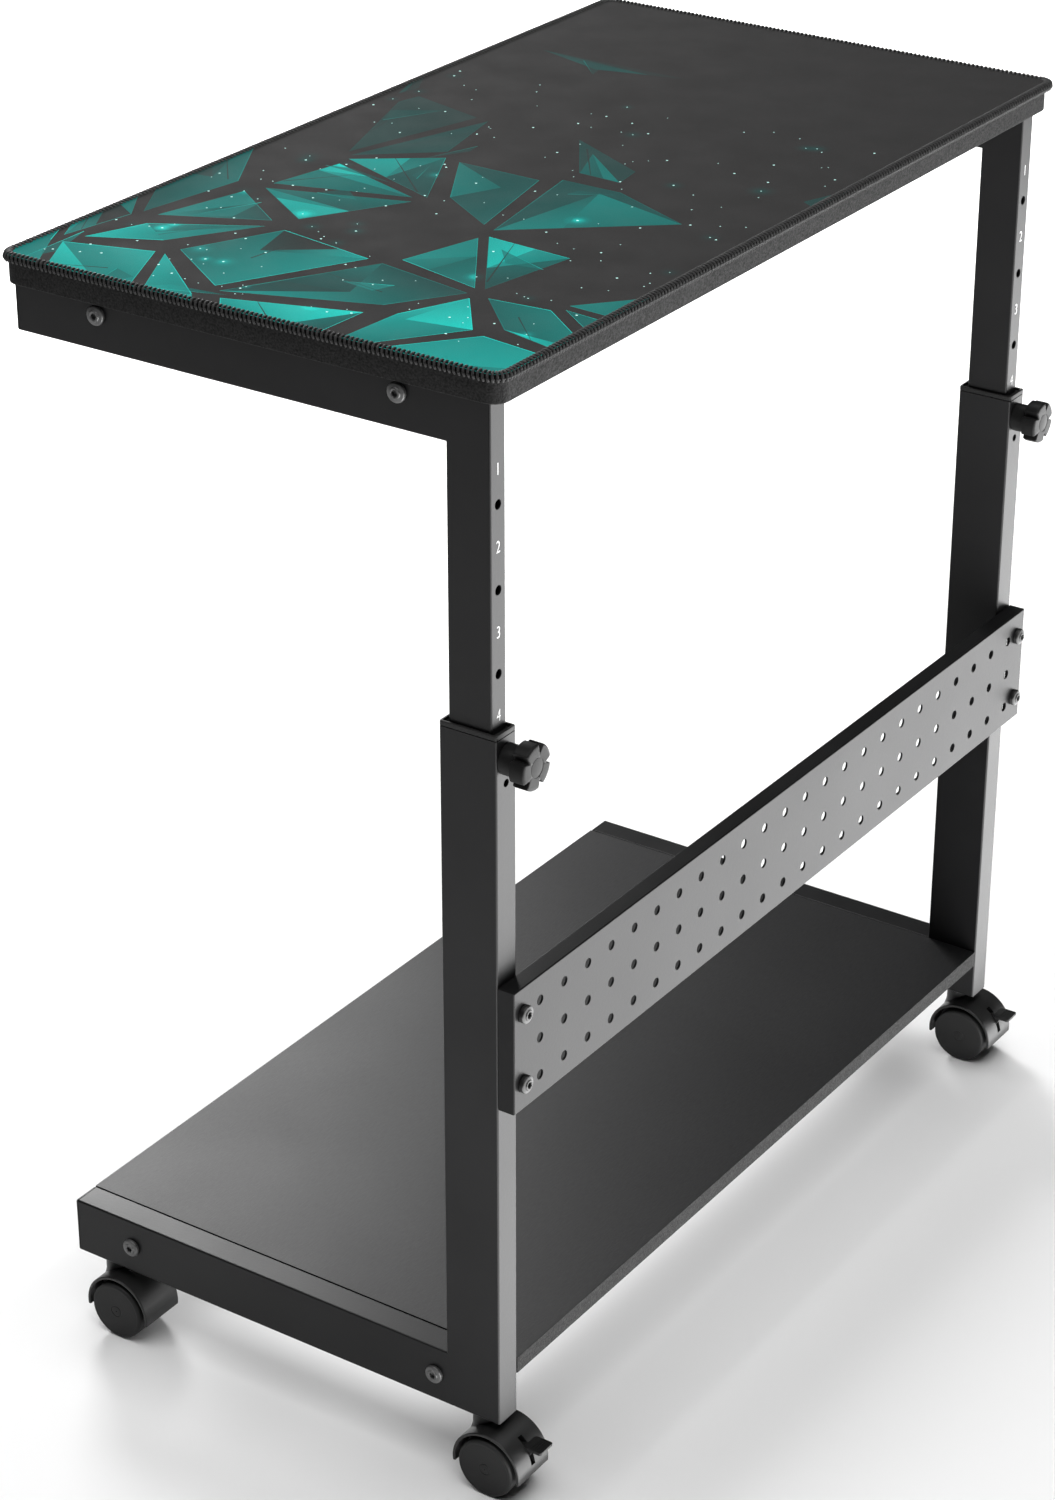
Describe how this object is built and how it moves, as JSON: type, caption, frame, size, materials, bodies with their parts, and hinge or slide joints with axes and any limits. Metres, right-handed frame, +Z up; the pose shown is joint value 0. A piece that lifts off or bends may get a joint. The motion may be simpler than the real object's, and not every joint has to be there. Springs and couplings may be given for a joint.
{
  "type": "wheeled computer tower stand",
  "caption": "Rolling stand that holds a computer tower on a low deck under a small height-adjustable top with a desk mat, with a perforated side guard.",
  "frame": {"origin": "on the floor, midway between the outermost points in plan", "axes": "+Z up; +Y runs from the front frame to the rear frame; +X points from the open side to the post and guard side"},
  "size_m": [0.383, 0.666, 0.7586],
  "materials": {
    "frame_paint": "fine-texture charcoal powder coat",
    "board_laminate": "charcoal laminate with a fine grained surface",
    "mat_cloth": "smooth printed micro-weave cloth, overlocked edge",
    "end_cap_plastic": "satin black moulded plastic",
    "knob_plastic": "satin black moulded plastic",
    "caster_plastic": "satin black nylon",
    "wheel_plastic": "matt black nylon",
    "screw_steel": "grey phosphate",
    "axle_steel": "bright zinc"
  },
  "bodies": {
    "lower_frame": {"front_lower_rail": "frame_paint", "front_lower_post": "frame_paint", "front_lower_end_cap": "end_cap_plastic", "front_post_sleeve": "end_cap_plastic", "front_lower_screw_left": "screw_steel", "front_lower_screw_right": "screw_steel", "front_guard_screw_low": "screw_steel", "front_guard_screw_high": "screw_steel", "front_left_caster_stem": "axle_steel", "front_right_caster_stem": "axle_steel", "rear_lower_rail": "frame_paint", "rear_lower_post": "frame_paint", "rear_lower_end_cap": "end_cap_plastic", "rear_post_sleeve": "end_cap_plastic", "rear_lower_screw_left": "screw_steel", "rear_lower_screw_right": "screw_steel", "rear_guard_screw_low": "screw_steel", "rear_guard_screw_high": "screw_steel", "rear_left_caster_stem": "axle_steel", "rear_right_caster_stem": "axle_steel", "base_board": "board_laminate", "lower_crossbar_left": "frame_paint", "lower_crossbar_right": "frame_paint", "guard_panel": "frame_paint"},
    "upper_frame": {"front_upper_post": "frame_paint", "front_apron_rail": "frame_paint", "front_apron_end_cap": "end_cap_plastic", "front_apron_screw_left": "screw_steel", "front_apron_screw_right": "screw_steel", "rear_upper_post": "frame_paint", "rear_apron_rail": "frame_paint", "rear_apron_end_cap": "end_cap_plastic", "rear_apron_screw_left": "screw_steel", "rear_apron_screw_right": "screw_steel", "upper_crossbar_left": "frame_paint", "upper_crossbar_right": "frame_paint", "top_board": "board_laminate", "desk_mat": "mat_cloth"},
    "front_locking_knob": {"front_knob": "knob_plastic", "front_knob_bolt": "screw_steel"},
    "rear_locking_knob": {"rear_knob": "knob_plastic", "rear_knob_bolt": "screw_steel"},
    "front_left_swivel": {"front_left_caster_housing": "caster_plastic", "front_left_axle": "axle_steel"},
    "front_left_front_wheel": {"front_left_wheel_front": "wheel_plastic"},
    "front_left_rear_wheel": {"front_left_wheel_rear": "wheel_plastic"},
    "front_right_swivel": {"front_right_caster_housing": "caster_plastic", "front_right_axle": "axle_steel"},
    "front_right_front_wheel": {"front_right_wheel_front": "wheel_plastic"},
    "front_right_rear_wheel": {"front_right_wheel_rear": "wheel_plastic"},
    "front_right_brake": {"front_right_brake_lever": "caster_plastic"},
    "rear_left_swivel": {"rear_left_caster_housing": "caster_plastic", "rear_left_axle": "axle_steel"},
    "rear_left_front_wheel": {"rear_left_wheel_front": "wheel_plastic"},
    "rear_left_rear_wheel": {"rear_left_wheel_rear": "wheel_plastic"},
    "rear_right_swivel": {"rear_right_caster_housing": "caster_plastic", "rear_right_axle": "axle_steel"},
    "rear_right_front_wheel": {"rear_right_wheel_front": "wheel_plastic"},
    "rear_right_rear_wheel": {"rear_right_wheel_rear": "wheel_plastic"},
    "rear_right_brake": {"rear_right_brake_lever": "caster_plastic"}
  },
  "joints": [
    {"name": "height_slide", "type": "slide", "parent": "lower_frame", "child": "upper_frame", "axis": [0, 0, 1], "range_m": [-0.1566, 0]},
    {"name": "front_knob_turn", "type": "hinge", "parent": "lower_frame", "child": "front_locking_knob", "pos_m": [0.162, -0.315, 0.5196], "axis": [1, 0, 0], "continuous": true},
    {"name": "rear_knob_turn", "type": "hinge", "parent": "lower_frame", "child": "rear_locking_knob", "pos_m": [0.162, 0.315, 0.5196], "axis": [1, 0, 0], "continuous": true},
    {"name": "front_left_swivel_turn", "type": "hinge", "parent": "lower_frame", "child": "front_left_swivel", "pos_m": [-0.157, -0.315, 0.045], "axis": [0, 0, 1], "continuous": true},
    {"name": "front_left_front_wheel_spin", "type": "hinge", "parent": "front_left_swivel", "child": "front_left_front_wheel", "pos_m": [-0.145, -0.315, 0.02052], "axis": [0, 1, 0], "continuous": true},
    {"name": "front_left_rear_wheel_spin", "type": "hinge", "parent": "front_left_swivel", "child": "front_left_rear_wheel", "pos_m": [-0.145, -0.315, 0.02052], "axis": [0, 1, 0], "continuous": true},
    {"name": "front_right_swivel_turn", "type": "hinge", "parent": "lower_frame", "child": "front_right_swivel", "pos_m": [0.144, -0.315, 0.045], "axis": [0, 0, 1], "continuous": true},
    {"name": "front_right_front_wheel_spin", "type": "hinge", "parent": "front_right_swivel", "child": "front_right_front_wheel", "pos_m": [0.156, -0.315, 0.02052], "axis": [0, 1, 0], "continuous": true},
    {"name": "front_right_rear_wheel_spin", "type": "hinge", "parent": "front_right_swivel", "child": "front_right_rear_wheel", "pos_m": [0.156, -0.315, 0.02052], "axis": [0, 1, 0], "continuous": true},
    {"name": "front_right_brake_press", "type": "hinge", "parent": "front_right_swivel", "child": "front_right_brake", "pos_m": [0.17, -0.315, 0.031], "axis": [0, 1, 0], "range_deg": [0, 14]},
    {"name": "rear_left_swivel_turn", "type": "hinge", "parent": "lower_frame", "child": "rear_left_swivel", "pos_m": [-0.157, 0.315, 0.045], "axis": [0, 0, 1], "continuous": true},
    {"name": "rear_left_front_wheel_spin", "type": "hinge", "parent": "rear_left_swivel", "child": "rear_left_front_wheel", "pos_m": [-0.145, 0.315, 0.02052], "axis": [0, 1, 0], "continuous": true},
    {"name": "rear_left_rear_wheel_spin", "type": "hinge", "parent": "rear_left_swivel", "child": "rear_left_rear_wheel", "pos_m": [-0.145, 0.315, 0.02052], "axis": [0, 1, 0], "continuous": true},
    {"name": "rear_right_swivel_turn", "type": "hinge", "parent": "lower_frame", "child": "rear_right_swivel", "pos_m": [0.144, 0.315, 0.045], "axis": [0, 0, 1], "continuous": true},
    {"name": "rear_right_front_wheel_spin", "type": "hinge", "parent": "rear_right_swivel", "child": "rear_right_front_wheel", "pos_m": [0.156, 0.315, 0.02052], "axis": [0, 1, 0], "continuous": true},
    {"name": "rear_right_rear_wheel_spin", "type": "hinge", "parent": "rear_right_swivel", "child": "rear_right_rear_wheel", "pos_m": [0.156, 0.315, 0.02052], "axis": [0, 1, 0], "continuous": true},
    {"name": "rear_right_brake_press", "type": "hinge", "parent": "rear_right_swivel", "child": "rear_right_brake", "pos_m": [0.17, 0.315, 0.031], "axis": [0, 1, 0], "range_deg": [0, 14]}
  ]
}
